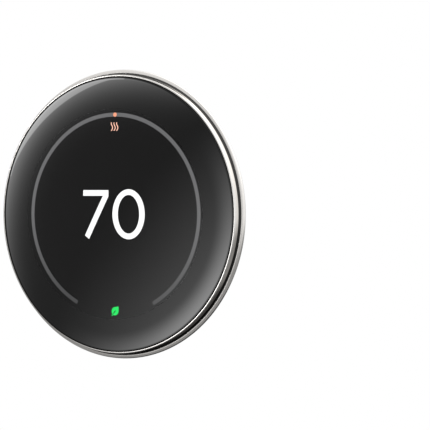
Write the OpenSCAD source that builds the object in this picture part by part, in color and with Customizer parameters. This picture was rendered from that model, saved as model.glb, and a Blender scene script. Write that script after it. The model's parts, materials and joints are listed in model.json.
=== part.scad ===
// Round wall thermostat: a domed glass face in a turning metal ring, on a display unit that
// pulls off a wall base with push-in wire terminals.
// Origin: midway between the two wall screw holes, on the wall. +Z is up and the face looks along -Y.
// Each piece is drawn lying on its back, with z as its distance from the wall, and from_wall()
// stands it up against the wall.

/* [Overall] */
// Diameter over the rolled rim of the turning ring
dial_d = 94.7; // [92:0.1:116]
// Rise of the glass dome above its own edge
dome_rise = 5; // [3:0.5:6]
// Depth of the battery bay, between the rear cover and the main board
bay_h = 2.8; // [2.4:0.1:9]

/* [Clearances] */
// Gap between pieces that move past each other
run_gap = 0.3; // [0.2:0.05:0.4]
// Gap between a piece and the pocket that holds it
seat_gap = 0.1; // [0.05:0.05:0.15]
// Radial play of the ring on its bearing
bearing_play = 0.07; // [0.02:0.01:0.1]
// Radial play of a guide pin in its bushing
pin_play = 0.05; // [0.02:0.01:0.1]

/* [Turning ring] */
// Width of the ring's front, from the rim in to the inside of the lip
ring_w = 2.4; // [2:0.1:3]
// Seam between the glass and the lip
seam = 0.35; // [0.25:0.05:0.5]
// Distance from the glass edge back to the widest point of the rim
rim_drop = 3.2; // [2.6:0.1:3.6]
// Radius of the rolled rim
rim_round = 0.4; // [0.3:0.05:0.5]
// Width of the flat flange in front of the rim
flange_w = 0.85; // [0.6:0.05:1.1]
// Thickness of the lip beside the glass
lip_w = 0.55; // [0.45:0.05:0.7]
// Height of the rounded lip
lip_h = 1.2; // [0.8:0.1:1.4]
// Step from the inside of the lip in to the bearing bore
bore_step = 1.95; // [1.6:0.05:2.3]
// Depth of the groove that holds the encoder band
groove_depth = 0.4; // [0.3:0.05:0.6]
// Depth of the step that the retainer catches
catch_depth = 0.7; // [0.5:0.05:0.9]
// Wall of the ring at its back edge
ring_back_wall = 0.7; // [0.5:0.1:1]

/* [Glass and screen] */
// Thickness of the glass at its edge
lens_edge_t = 1.2; // [1:0.1:1.6]
// Height of the screen's pocket in the back of the glass
pocket_h = 1.9; // [1:0.1:2.2]
// Diameter of the round screen
screen_d = 70.8; // [60:0.2:71]
// Thickness of the screen panel
screen_t = 1.55; // [1:0.05:1.6]
// Thickness of the black print behind the rim of the glass
mask_t = 0.1; // [0.05:0.05:0.2]
// Thickness of the adhesive ring
tape_t = 0.2; // [0.1:0.05:0.4]
// Width and thickness of the screen's flexible tail
tail_size = [12, 0.3]; // [0.2:0.1:14]
// Height of the tail above the centre
tail_y = 28; // [26:0.5:29]

/* [Face carrier] */
// Thickness of the carrier's flange
flange_t = 1.5; // [1.2:0.1:2]
// Thickness of the carrier's plate
plate_t = 1.2; // [1:0.1:1.6]
// Length of the carrier's hub behind its flange
hub_h = 3.6; // [3.4:0.1:4.4]
// Radial thickness of the hub
hub_w = 3.4; // [3:0.1:4]
// Radial thickness of the plastic bearing
bearing_w = 1.73; // [1.2:0.01:2]
// Length of the bearing
bearing_l = 1.7; // [1.4:0.1:1.8]
// Thickness of the ring's retainer
retainer_t = 1.2; // [1:0.1:1.5]
// How far the face travels when it is pressed
press_travel = 1; // [0.6:0.1:1.2]

/* [Press guides] */
// Distance of the guide pins from the centre
guide_circle = 31; // [28:0.5:32]
// Diameter of a guide pin
pin_d = 2.4; // [2:0.1:3]
// Wall of a guide bushing
bushing_wall = 1.05; // [0.8:0.05:1.4]
// Wire diameter of a return spring
spring_wire = 0.5; // [0.3:0.05:0.6]

/* [Display unit] */
// Wall of the rear cover
cover_wall = 1.2; // [1:0.1:1.6]
// Corner radius of the rear cover
cover_round = 4.5; // [3:0.1:5]
// How far the rear cover is set in from the ring's back edge
cover_inset = 1.3; // [1:0.1:2]
// Thickness of the main board
board_t = 1; // [0.8:0.1:1.6]
// Thickness of the chassis plate
chassis_t = 0.8; // [0.6:0.1:1.2]
// Width and height of the battery, which fills the depth of its bay
battery_size = [40, 24]; // [20:0.5:42]
// Height of the battery's middle above the centre
battery_y = 4; // [0:0.5:5]
// Distance of the rear cover's screws from the centre
cover_screw_circle = 30; // [29:0.5:31]
// Distance of the board's screws from the centre
board_screw_circle = 34; // [33:0.1:34.4]
// Width and height of the charging port
usb_size = [9, 3.2]; // [3:0.1:9.4]
// Height of the charging port above the centre
usb_y = 23; // [22:0.5:24]

/* [Wall base] */
// Diameter of the wall base
base_d = 70; // [69:0.5:84]
// Height of the base's flange
base_flange_h = 5; // [4.9:0.1:6]
// Height of the whole base without its tabs
base_h = 8; // [8:0.1:9]
// Wall of the base
base_wall = 1.4; // [1.2:0.1:1.8]
// Step from the flange in to the boss that the display unit slides over
boss_step = 2; // [1.8:0.1:2.6]
// Diameter of the wire hole
wire_hole_d = 21; // [16:0.5:22]
// Distance between the two wall screws
screw_spacing = 50; // [49:0.5:51]
// Diameter of the wall screw holes
screw_hole_d = 4.4; // [3.6:0.1:5]
// Diameter of the recess for a wall screw's head
screw_recess_d = 8.8; // [7:0.1:9]
// Thickness of the base's rear plate
rear_plate_t = 1.2; // [1:0.1:1.5]
// Height of the pillars between the rear plate and the base board
pillar_h = 1.2; // [1:0.1:1.4]

/* [Terminals] */
// Terminals on each side
terminals = 6; // [4:1:6]
// Angle between neighbouring terminals
terminal_pitch = 16; // [16:0.1:16.5]
// Radial length of a terminal block
terminal_l = 10.6; // [10.4:0.1:11]
// Radial and sideways size of a release tab
tab_size = [3, 3.6]; // [2.6:0.1:3.8]
// How far a tab stands above the base
tab_proud = 1.1; // [0.9:0.1:1.2]
// How far a tab travels
tab_travel = 1.2; // [0.8:0.1:1.3]
// Width and height of a wire entry
wire_entry = [2.4, 2]; // [1.6:0.1:2.6]

/* [Level and socket] */
// Outer diameter of the level's vial
vial_d = 4; // [3:0.1:4.4]
// Length of the vial
vial_l = 14; // [10:0.5:15]
// Wall of the vial
vial_wall = 0.4; // [0.3:0.05:0.6]
// Gap between the vial and the floor below it
vial_lift = 0.3; // [0.1:0.05:0.4]
// Width and height of the socket
socket_size = [20, 5.2]; // [5:0.1:21]
// Wall of the socket
socket_wall = 0.9; // [0.7:0.1:1]
// Width and height of the plug's tongue
tongue_size = [17.6, 2.4]; // [2:0.1:18]
// Contacts in each row of the plug
contacts = 8; // [4:1:9]

/* [Hidden] */
$fn = 128;
cut = 1; // overrun of a cut past a face
edge_fn = 720; // fineness of the glass and ring outlines

// Radii of the ring, the glass and the face, from the rim inwards
rim_r = dial_d / 2;
lip_in_r = rim_r - ring_w;
lens_r = lip_in_r - seam;
bore_r = lip_in_r - bore_step;
groove_r = bore_r + groove_depth;
catch_r = bore_r + catch_depth;
ring_back_r = catch_r + ring_back_wall;
dome_r = (lens_r * lens_r + dome_rise * dome_rise) / (2 * dome_rise);
bearing_r = bore_r - bearing_play;
hub_r = bearing_r - bearing_w;
hub_in_r = hub_r - hub_w;
retainer_r = catch_r - run_gap;
screen_r = screen_d / 2;
pocket_r = screen_r + 0.4;
window_r = pocket_r + 0.6;
cover_r = ring_back_r - cover_inset;
board_r = hub_in_r - run_gap - seat_gap;

// Heights of the display unit, from the wall base forwards
cover_back_z = base_h + tab_proud + run_gap;
cover_in_z = cover_back_z + cover_wall;
board_z = cover_in_z + bay_h;
cover_rim_z = board_z;
board_top_z = board_z + board_t;
chassis_z = board_z - chassis_t;
cup_z = cover_in_z + 1;
bushing_z = board_z - 2 * seat_gap;
bushing_flange_t = 0.4;
bushing_top_z = board_top_z + 1.4;

// Heights of the face and the ring, from the press gap forwards
retainer_z = cover_rim_z + press_travel + run_gap;
hub_z = retainer_z + retainer_t;
flange_z = hub_z + hub_h;
plate_z = flange_z - plate_t;
tape_z = flange_z + flange_t;
mask_z = tape_z + tape_t;
lens_back_z = mask_z + mask_t;
glass_z = lens_back_z + lens_edge_t;
depth = glass_z + dome_rise; // from the wall to the top of the dome
ring_back_z = retainer_z + seat_gap;
shoulder_z = flange_z - run_gap - seat_gap;
land_z = hub_z + run_gap;
land_top_z = hub_z + bearing_l + seat_gap;
pocket_z = lens_back_z + pocket_h;
glue_t = 0.05;
screen_top_z = pocket_z - glue_t;
screen_z = screen_top_z - screen_t;
switch_top_z = plate_z - 2 * press_travel - seat_gap;
plunger_z = switch_top_z + press_travel + seat_gap / 2;

// Radii and heights of the wall base
base_r = base_d / 2;
boss_r = base_r - boss_step;
boss_in_r = boss_r - base_wall;
terminal_out_r = boss_in_r - 3 * seat_gap;
terminal_in_r = terminal_out_r - terminal_l;
well_r = terminal_in_r - 0.8;
well_out_r = well_r + base_wall;
base_board_z = rear_plate_t + pillar_h;
base_board_t = 1;
floor_z = base_board_z + base_board_t + seat_gap;
floor_top_z = floor_z + base_wall;
vial_z = floor_top_z + vial_lift + vial_d / 2;
terminal_z = base_board_z + base_board_t;
terminal_top_z = base_h - 0.2;
terminal_half_angle = terminals * terminal_pitch / 2 + 1;
post_circle = terminal_out_r - 4;
post_angles = [60, 120, 240, 300];
post_r = 2.4;
wall_screw_boss_r = screw_recess_d / 2 + base_wall;
// The level and the socket stand between the wire hole and the wall screws, inside the well
row_limit = screw_spacing / 2 - wall_screw_boss_r - run_gap;
level_y = min(row_limit, sqrt(pow(well_r - run_gap, 2) - pow(vial_l / 2, 2))) - vial_d / 2;
socket_y = row_limit - socket_size[1] / 2;

// Release tabs: a foot in a wide pocket keeps each tab in its narrower throat
tab_mid_r = terminal_out_r - 2.4;
tab_foot = [0.4, 1];
tab_foot_h = 0.6;
tab_floor_z = terminal_z + 0.8;
tab_z = tab_floor_z + tab_travel + run_gap;
throat_z = tab_z + tab_foot_h + seat_gap;

// Screws: shank radius, head radius and head height
base_screw = [0.9, 1.9, 0.8];
cover_screw = [0.8, 1.8, 1];
board_screw = [0.8, 1.7, 1];
retainer_screw = [0.65, 1.3, 0.7];
guide_angles = [30, 150, 270];
board_screw_angles = [90, 210, 330];
retainer_screw_angles = [0, 120, 240];
cover_screw_angles = [45, 135, 225, 315];
pin_r = pin_d / 2;
bushing_r = pin_r + pin_play + bushing_wall;
pin_head_r = pin_r + 0.7;
pin_head_h = 0.9;
spring_r = bushing_r + seat_gap + spring_wire;
cup_r = cover_screw[1] + 1;

// Stand a piece up against the wall
module from_wall() rotate([90, 0, 0]) children();

module disc(r, z0, z1) translate([0, 0, z0]) cylinder(r = r, h = z1 - z0);

module ring(r_out, r_in, z0, z1) {
    difference() {
        disc(r_out, z0, z1);
        disc(r_in, z0 - cut, z1 + cut);
    }
}

// A length of ring between two angles
module arc_ring(r_out, r_in, a0, a1, z0, z1) {
    rotate([0, 0, a0]) rotate_extrude(angle = a1 - a0)
        translate([r_in, z0]) square([r_out - r_in, z1 - z0]);
}

// A box with its middle at a place in the wall's plane
module box(size, z0, z1, at = [0, 0]) {
    translate([at[0] - size[0] / 2, at[1] - size[1] / 2, z0])
        cube([size[0], size[1], z1 - z0]);
}

module at_angles(angles, r) {
    for (a = angles) rotate([0, 0, a]) translate([r, 0, 0]) children();
}

// A pan-head screw: the head's seat is at z, and the shank points up from it
module screw_up(spec, z, shank) {
    disc(spec[1], z - spec[2], z);
    disc(spec[0], z, z + shank);
}

// A pan-head screw whose shank points down from its seat at z
module screw_down(spec, z, shank) {
    disc(spec[1], z, z + spec[2]);
    disc(spec[0], z - shank, z);
}

// ---- Wall base ----

module base_rear_plate() {
    color("gainsboro") from_wall() difference() {
        union() {
            disc(base_r - base_wall - seat_gap, 0, rear_plate_t);
            at_angles(post_angles, post_circle) disc(post_r, 0, base_board_z);
            at_angles([0, 180], post_circle) disc(post_r, 0, base_board_z);
        }
        disc(wire_hole_d / 2, -cut, base_h);
        for (side = [-1, 1]) translate([0, side * screw_spacing / 2, 0])
            disc(wall_screw_boss_r + seat_gap, -cut, base_h);
        at_angles(post_angles, post_circle) {
            disc(base_screw[1] + seat_gap, -cut, base_screw[2] + seat_gap);
            disc(base_screw[0] + seat_gap, 0, base_h);
        }
    }
}

// The windows that the terminal blocks stand in, open to the well in the middle
module terminal_windows() {
    half = terminal_half_angle + 0.3;
    for (side = [0, 180]) {
        arc_ring(terminal_out_r + seat_gap, terminal_in_r - seat_gap, side - half, side + half,
            terminal_z - seat_gap, base_h + cut);
        arc_ring(terminal_out_r, well_r - cut, side - half, side + half, floor_top_z,
            base_h + cut);
    }
}

module vial_cradles() {
    for (side = [-1, 1]) difference() {
        box([1.4, vial_d + 1.2], floor_top_z - seat_gap, vial_z,
            [side * (vial_l / 2 - 1.6), level_y]);
        along_vial(vial_d / 2, vial_l + cut);
    }
}

catch_angles = [68, 112, 248, 292];
catch_half_angle = 4;
catch_z = base_flange_h + 0.7;
catch_h = 1;

// Half section of the base's front moulding: flange, boss, well and floor
module cover_section() {
    wire_hole_r = wire_hole_d / 2;
    polygon([
        [base_r - base_wall, 0], [base_r, 0], [base_r, base_flange_h], [boss_r, base_flange_h],
        [boss_r, base_h], [well_r, base_h], [well_r, floor_top_z], [wire_hole_r, floor_top_z],
        [wire_hole_r, floor_z], [well_out_r, floor_z], [well_out_r, base_h - base_wall],
        [boss_in_r, base_h - base_wall], [boss_in_r, base_flange_h - base_wall],
        [base_r - base_wall, base_flange_h - base_wall]
    ]);
}

module base_cover() {
    color("whitesmoke") from_wall() difference() {
        union() {
            rotate_extrude() cover_section();
            at_angles(post_angles, post_circle) disc(post_r, terminal_z, base_h - 0.2);
            for (side = [-1, 1]) translate([0, side * screw_spacing / 2, 0])
                disc(wall_screw_boss_r, 0, base_h - 0.2);
            vial_cradles();
        }
        terminal_windows();
        box(socket_size + [0.2, 0.2], 0, base_h + cut, [0, -socket_y]);
        at_angles(post_angles, post_circle) disc(base_screw[0], 0, base_h - base_wall);
        for (side = [-1, 1]) translate([0, side * screw_spacing / 2, 0]) {
            disc(screw_hole_d / 2, -cut, base_h);
            disc(screw_recess_d / 2, base_h / 2, base_h + cut);
        }
        for (a = catch_angles)
            arc_ring(base_r, boss_in_r - cut, a - catch_half_angle, a + catch_half_angle,
                catch_z - seat_gap, catch_z + catch_h + seat_gap);
    }
}

module base_board() {
    color("darkgreen") from_wall() difference() {
        ring(terminal_out_r, wire_hole_d / 2 + 2, base_board_z, base_board_z + base_board_t);
        for (side = [-1, 1]) translate([0, side * screw_spacing / 2, 0])
            disc(wall_screw_boss_r + seat_gap, 0, base_h);
        at_angles(post_angles, post_circle) disc(base_screw[0] + 2 * seat_gap, 0, base_h);
    }
}

// The chips stand between the wire well's wall and the boss's wall, clear of the posts
module base_chips() {
    chip = [3, 3];
    chip_h = 1.2;
    chip_circle = (well_out_r + boss_in_r) / 2;
    color("dimgray") from_wall() for (a = [70, 110, 250, 290])
        box(chip, terminal_z, terminal_z + chip_h, chip_circle * [cos(a), sin(a)]);
}

function terminal_angle(i) = (i - (terminals - 1) / 2) * terminal_pitch;

// One terminal's chamber, wire entry and tab pocket, on the +X axis
module terminal_cavity() {
    mid = tab_mid_r;
    chamber_out_r = mid - tab_size[0] / 2 - 1.5;
    box([chamber_out_r - terminal_in_r - 1.2, 4], tab_floor_z, terminal_top_z - 0.8,
        [(chamber_out_r + terminal_in_r + 1.2) / 2, 0]);
    box([2.6, wire_entry[0]], floor_top_z + seat_gap, floor_top_z + seat_gap + wire_entry[1],
        [terminal_in_r + 0.6, 0]);
    box([tab_size[0] + tab_foot[0] + 2 * run_gap, tab_size[1] + tab_foot[1] + 2 * run_gap],
        tab_floor_z, throat_z, [mid, 0]);
    box([tab_size[0] + 2 * run_gap, tab_size[1] + 2 * run_gap], tab_floor_z,
        base_h + cut, [mid, 0]);
}

module terminal_block(side) {
    color("lightgray") from_wall() rotate([0, 0, side]) difference() {
        arc_ring(terminal_out_r, terminal_in_r, -terminal_half_angle, terminal_half_angle,
            terminal_z, terminal_top_z);
        for (i = [0 : terminals - 1]) rotate([0, 0, terminal_angle(i)]) terminal_cavity();
    }
}

// Sprung brass leaves that grip the wires
module terminal_contacts(side) {
    leaf_t = 0.4;
    leaf_out_r = tab_mid_r - tab_size[0] / 2 - 1.8;
    leaf_in_r = terminal_in_r + 1.6;
    color("goldenrod") from_wall() rotate([0, 0, side]) for (i = [0 : terminals - 1])
        rotate([0, 0, terminal_angle(i)]) translate([0, 1.5, tab_floor_z])
            rotate([90, 0, 0]) linear_extrude(3) polygon([
                [leaf_in_r, 0], [leaf_out_r, 0], [leaf_out_r, 2.2], [leaf_out_r - leaf_t, 2.2],
                [leaf_out_r - leaf_t, leaf_t], [leaf_in_r, leaf_t]
            ]);
}

// One release tab: side is 0 on the right and 180 on the left, and n counts from the top
module terminal_tab(side, n) {
    turn = (side == 0 ? 1 : -1) * -terminal_angle(n - 1);
    color("white") from_wall() rotate([0, 0, side + turn]) difference() {
        union() {
            box(tab_size + tab_foot, tab_z, tab_z + tab_foot_h, [tab_mid_r, 0]);
            box(tab_size, tab_z, base_h + tab_proud, [tab_mid_r, 0]);
        }
        box([0.8, 2], base_h + tab_proud - 0.4, base_h + tab_proud + cut, [tab_mid_r, 0]);
    }
}

module along_vial(r, l) {
    translate([-l / 2, level_y, vial_z]) rotate([0, 90, 0]) cylinder(r = r, h = l);
}

module level_vial() {
    color("honeydew") from_wall() difference() {
        along_vial(vial_d / 2, vial_l);
        along_vial(vial_d / 2 - vial_wall, vial_l - 4 * vial_wall);
    }
}

module level_liquid() {
    bubble_r = 0.7;
    color("greenyellow") from_wall() difference() {
        along_vial(vial_d / 2 - vial_wall, vial_l - 4 * vial_wall);
        translate([0, vial_d / 2 - vial_wall - bubble_r - 0.1, 0]) {
            along_vial(bubble_r, 3);
            for (side = [-1, 1])
                translate([side * 1.5, level_y, vial_z]) sphere(r = bubble_r);
        }
    }
}

socket_cavity = socket_size - [2 * socket_wall, 2 * socket_wall];
contact_pitch = (tongue_size[0] - 2) / (contacts - 1);

module contact_row(w, t, y, z0, z1) {
    for (i = [0 : contacts - 1], side = [-1, 1])
        box([w, t], z0, z1, [(i - (contacts - 1) / 2) * contact_pitch, side * y - socket_y]);
}

module base_socket() {
    color("black") from_wall() difference() {
        box(socket_size, terminal_z, base_h, [0, -socket_y]);
        box(socket_cavity, terminal_z + 1.2, base_h + cut, [0, -socket_y]);
    }
}

module socket_contacts() {
    t = 0.2;
    color("goldenrod") from_wall()
        contact_row(0.9, t, socket_cavity[1] / 2 - t / 2, terminal_z + 1.2, base_h - 0.4);
}

module base_screws() {
    color("silver") from_wall() at_angles(post_angles, post_circle)
        screw_up(base_screw, base_screw[2] + seat_gap, base_h - base_wall - 1.5);
}

module catch_springs() {
    color("silver") from_wall() for (a = catch_angles) {
        arc_ring(boss_r - 0.5, boss_in_r + 0.3, a - catch_half_angle, a + catch_half_angle,
            catch_z, catch_z + catch_h);
        arc_ring(boss_r + run_gap / 2, boss_r - 0.5, a - 1.5, a + 1.5, catch_z,
            catch_z + catch_h);
    }
}

// ---- Display unit ----

// Outline of the rear cover, or of its hollow when it is set in by a wall
module cover_outline(inset) {
    r = cover_r - inset;
    z0 = cover_back_z + inset;
    round_r = cover_round - inset;
    intersection() {
        union() {
            translate([0, z0]) square([r - round_r, depth]);
            translate([0, z0 + round_r]) square([r, depth]);
            translate([r - round_r, z0 + round_r]) circle(r = round_r);
        }
        square([rim_r, inset == 0 ? cover_rim_z : depth]);
    }
}

module rear_cover() {
    skirt_in_r = boss_r + run_gap;
    vent_angles = [for (i = [-4 : 4]) 270 + 4 * i];
    color([0.2, 0.2, 0.21]) from_wall() difference() {
        union() {
            rotate_extrude() cover_outline(0);
            disc(base_r, base_flange_h + run_gap, cover_rim_z);
        }
        rotate_extrude() cover_outline(cover_wall);
        disc(skirt_in_r, 0, cover_back_z);
        ring(skirt_in_r + 0.3, skirt_in_r - cut, catch_z - seat_gap, catch_z + catch_h + seat_gap);
        box(tongue_size + [1.4, 1.6], 0, depth, [0, -socket_y]);
        box(usb_size + [0.4, 0.4], 0, depth, [0, usb_y]);
        at_angles(vent_angles, cover_r) box([6, 1], cover_in_z + 0.6, cover_rim_z - 0.9);
        at_angles(cover_screw_angles, cover_screw_circle)
            disc(cover_screw[1] + 2 * seat_gap, 0, depth);
    }
    // cups that sink the screw heads
    color([0.2, 0.2, 0.21]) from_wall() at_angles(cover_screw_angles, cover_screw_circle)
        difference() {
            disc(cup_r, cover_back_z, cup_z);
            disc(cover_screw[1] + 2 * seat_gap, 0, cover_in_z + 0.1);
            disc(cover_screw[0] + seat_gap, 0, depth);
        }
}

lead_x = 9.5;
lead_y = battery_y + battery_size[1] / 2;

module chassis() {
    color("dimgray") from_wall() difference() {
        union() {
            difference() {
                disc(board_r, chassis_z, board_z);
                at_angles(cover_screw_angles, cover_screw_circle)
                    disc(cup_r + seat_gap, 0, cup_z);
            }
            at_angles(cover_screw_angles, cover_screw_circle) disc(post_r, cup_z, board_z);
            at_angles(board_screw_angles, board_screw_circle)
                disc(2.2, cover_in_z + 0.6, board_z);
        }
        box(battery_size + [0.4, 0.4], 0, depth, [0, battery_y]);
        box([6.4, 8], 0, depth, [lead_x, lead_y + 3]);
        box(tongue_size + [3, 2.8], 0, depth, [0, -socket_y]);
        box(usb_size + [0.6, 0.6], 0, depth, [0, usb_y]);
        at_angles(guide_angles, guide_circle) disc(bushing_r + seat_gap, 0, depth);
        at_angles(cover_screw_angles, cover_screw_circle)
            disc(cover_screw[0], 0, board_z - 0.3);
        at_angles(board_screw_angles, board_screw_circle)
            disc(board_screw[0], cover_in_z + 0.8, depth);
    }
}

module main_board() {
    color("darkgreen") from_wall() difference() {
        disc(board_r, board_z, board_top_z);
        box(usb_size + [0.2, 0.2], 0, depth, [0, usb_y]);
        at_angles(guide_angles, guide_circle) disc(bushing_r, 0, depth);
        at_angles(board_screw_angles, board_screw_circle)
            disc(board_screw[0] + seat_gap, 0, depth);
    }
}

module shield_cans() {
    color("silver") from_wall() {
        box([20, 17], board_top_z, board_top_z + 1.2, [-16.5, 0]);
        box([17, 17], board_top_z, board_top_z + 1.2, [15, -1]);
        box([14, 7], board_top_z, board_top_z + 1.2, [0, -19]);
    }
}

module battery() {
    color("steelblue") from_wall()
        box(battery_size, cover_in_z + seat_gap, board_z - seat_gap, [0, battery_y]);
}

module battery_lead() {
    wire_r = 0.5;
    color("crimson") from_wall() {
        for (side = [-1, 1])
            translate([lead_x + side, lead_y, board_z - 1.4])
                rotate([-90, 0, 0]) cylinder(r = wire_r, h = 3);
        box([5, 3.4], board_z - 2.2, board_z, [lead_x, lead_y + 3 + 1.7]);
    }
}

module plug_housing() {
    color("black") from_wall() {
        box(tongue_size + [2, 2], cover_in_z + 0.2, board_z, [0, -socket_y]);
        box(tongue_size, terminal_z + 1.8, cover_in_z + 0.2, [0, -socket_y]);
    }
}

module plug_contacts() {
    t = 0.1;
    color("goldenrod") from_wall() contact_row(1.1, t, (tongue_size[1] + t) / 2,
        terminal_z + 2.2, cover_back_z - 0.6);
}

module usb_port() {
    shell = 0.3;
    top_z = board_top_z + 1.3;
    color("silver") from_wall() difference() {
        box(usb_size, cover_back_z + 0.2, top_z, [0, usb_y]);
        difference() {
            box(usb_size - [2 * shell, 2 * shell], 0, top_z - shell, [0, usb_y]);
            box([usb_size[0] - 2.4, 0.7], cover_back_z + 0.8, depth, [0, usb_y]);
        }
    }
}

module buzzer() {
    color([0.15, 0.15, 0.15]) from_wall() translate([-13, 17.5, 0]) difference() {
        disc(4.5, board_top_z, board_top_z + 1.4);
        disc(0.8, board_top_z + 0.8, depth);
    }
}

module click_switch() {
    color("silver") from_wall() box([4.6, 4.6], board_top_z, switch_top_z - 0.3);
    color("black") from_wall() disc(1.1, switch_top_z - 0.3, switch_top_z);
}

module rear_cover_screws() {
    color("silver") from_wall() at_angles(cover_screw_angles, cover_screw_circle)
        screw_up(cover_screw, cover_in_z + 0.1, board_z - cover_in_z - 0.6);
}

module board_screws() {
    color("silver") from_wall() at_angles(board_screw_angles, board_screw_circle)
        screw_down(board_screw, board_top_z, board_top_z - cover_in_z - 1);
}

module antenna() {
    color("goldenrod") from_wall()
        arc_ring(board_r - 0.6, board_r - 1.8, 42, 76, board_top_z, board_top_z + 0.3);
}

module guide_bushings() {
    color("ivory") from_wall() at_angles(guide_angles, guide_circle) difference() {
        union() {
            disc(bushing_r, bushing_z, bushing_top_z);
            disc(spring_r + spring_wire / 2, board_top_z, board_top_z + bushing_flange_t);
        }
        disc(pin_r + pin_play, 0, depth);
    }
}

module climate_sensor() {
    color("white") from_wall() difference() {
        box([3, 3], board_top_z, board_top_z + 0.9, [11, -31]);
        translate([11, -31, 0]) disc(0.6, board_top_z + 0.6, depth);
    }
}

module screen_socket() {
    color("ivory") from_wall() difference() {
        box(tail_size + [2, 1.9], board_top_z, board_top_z + 1.6, [0, tail_y]);
        box(tail_size + [0.6, 0.6], board_top_z + 0.1, depth, [0, tail_y]);
    }
}

// ---- Face that presses in ----

module lens() {
    color([0.05, 0.05, 0.06]) from_wall() rotate_extrude($fn = edge_fn) difference() {
        intersection() {
            translate([0, depth - dome_r]) circle(r = dome_r, $fn = 4 * edge_fn);
            translate([0, lens_back_z]) square([lens_r, depth]);
        }
        square([pocket_r, pocket_z]);
    }
}

module lens_mask() {
    color("black") from_wall() ring(lens_r - 2 * seat_gap, pocket_r + seat_gap, mask_z, lens_back_z);
}

module lens_tape() {
    color([0.1, 0.1, 0.1]) from_wall() ring(lens_r - 0.6, window_r + 0.2, tape_z, mask_z);
}

module screen_panel() {
    color([0.02, 0.02, 0.02]) from_wall() disc(screen_r, screen_z, screen_top_z);
}

module screen_backlight() {
    color("white") from_wall() difference() {
        disc(screen_r - 0.4, flange_z, screen_z);
        box(tail_size + [0.6, 0.6], 0, depth, [0, tail_y]);
    }
}

module screen_tail() {
    color("orange") from_wall()
        box(tail_size, board_top_z + press_travel + 0.3, screen_z, [0, tail_y]);
}

sensor_y = (window_r + lens_r) / 2;
presence_size = [7, 3.4];
light_size = [2.4, 2.4];
ring_sensor_size = [3.3, 4];
ring_sensor_z = [land_top_z + seat_gap, shoulder_z];
ring_sensor_x = bore_r - run_gap - ring_sensor_size[0] / 2;

module face_carrier() {
    color([0.12, 0.12, 0.12]) from_wall() difference() {
        union() {
            ring(lens_r - seat_gap, window_r, flange_z, tape_z);
            disc(hub_r, plate_z, flange_z);
            ring(hub_r, hub_in_r, hub_z, flange_z);
            disc(2, plunger_z, flange_z);
        }
        box(tail_size + [0.6, 0.6], 0, depth, [0, tail_y]);
        box(presence_size + [0.2, 0.2], flange_z + 0.2, depth, [0, -sensor_y]);
        box(light_size + [0.2, 0.2], flange_z + 0.4, depth, [0, sensor_y]);
        box(ring_sensor_size + [0.2, 0.2], ring_sensor_z[0], ring_sensor_z[1],
            [-ring_sensor_x - 0.1, 0]);
        at_angles(guide_angles, guide_circle) disc(pin_r, 0, plate_z + 0.8);
        at_angles(retainer_screw_angles, (hub_r + hub_in_r) / 2)
            disc(retainer_screw[0], 0, plate_z);
    }
}

module guide_pins() {
    color("silver") from_wall() at_angles(guide_angles, guide_circle) {
        disc(pin_r, bushing_z - seat_gap, plate_z + 0.8);
        disc(pin_head_r, bushing_z - seat_gap - pin_head_h, bushing_z - seat_gap);
    }
}

module dial_bearing() {
    color("ivory") from_wall() ring(bearing_r, hub_r, hub_z, hub_z + bearing_l);
}

module dial_retainer() {
    screw_circle = (hub_r + hub_in_r) / 2;
    color("dimgray") from_wall() difference() {
        ring(retainer_r, hub_in_r, retainer_z, hub_z);
        at_angles(retainer_screw_angles, screw_circle) {
            disc(retainer_screw[0] + seat_gap, 0, depth);
            disc(retainer_screw[1] + seat_gap, 0, retainer_z + retainer_screw[2]);
        }
    }
}

module retainer_screws() {
    color("silver") from_wall() at_angles(retainer_screw_angles, (hub_r + hub_in_r) / 2)
        screw_up(retainer_screw, retainer_z + retainer_screw[2], plate_z - retainer_z - 1);
}

module ring_sensor() {
    color("black") from_wall()
        box(ring_sensor_size, ring_sensor_z[0], ring_sensor_z[1] - seat_gap, [-ring_sensor_x, 0]);
}

module presence_sensor() {
    color("dimgray") from_wall()
        box(presence_size, flange_z + 0.2, tape_z - seat_gap, [0, -sensor_y]);
}

module light_sensor() {
    color("lightgray") from_wall()
        box(light_size, flange_z + 0.4, tape_z - seat_gap, [0, sensor_y]);
}

// A coil of round wire: rings of points along a helix, joined in order
spring_sides = 8;
spring_steps = 20;
spring_turns = 3.5;

function spring_point(i, k, height) =
    let (a = 360 * i / spring_steps, b = 360 * k / spring_sides, w = spring_wire / 2,
        z = w + (height - 2 * w) * i / (spring_steps * spring_turns), r = spring_r + w * cos(b))
    [r * cos(a), r * sin(a), z + w * sin(b)];

module coil_spring(height) {
    n = spring_steps * spring_turns;
    m = spring_sides;
    points = [for (i = [0 : n], k = [0 : m - 1]) spring_point(i, k, height)];
    sides = [for (i = [0 : n - 1], k = [0 : m - 1])
        [i * m + k, (i + 1) * m + k, (i + 1) * m + (k + 1) % m, i * m + (k + 1) % m]];
    ends = [[for (k = [0 : m - 1]) k], [for (k = [m - 1 : -1 : 0]) n * m + k]];
    polyhedron(points, concat(sides, ends));
}

module return_springs() {
    spring_z = board_top_z + bushing_flange_t;
    color("silver") from_wall() at_angles(guide_angles, guide_circle)
        translate([0, 0, spring_z]) coil_spring(plate_z - spring_z);
}

// ---- Turning ring ----

// Points of a quarter of an ellipse round a middle, from the angle a0 to a1
function bend(c, rx, rz, a0, a1, n = 10) =
    [for (i = [0 : n]) let (a = a0 + (a1 - a0) * i / n) c + [rx * cos(a), rz * sin(a)]];

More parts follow.
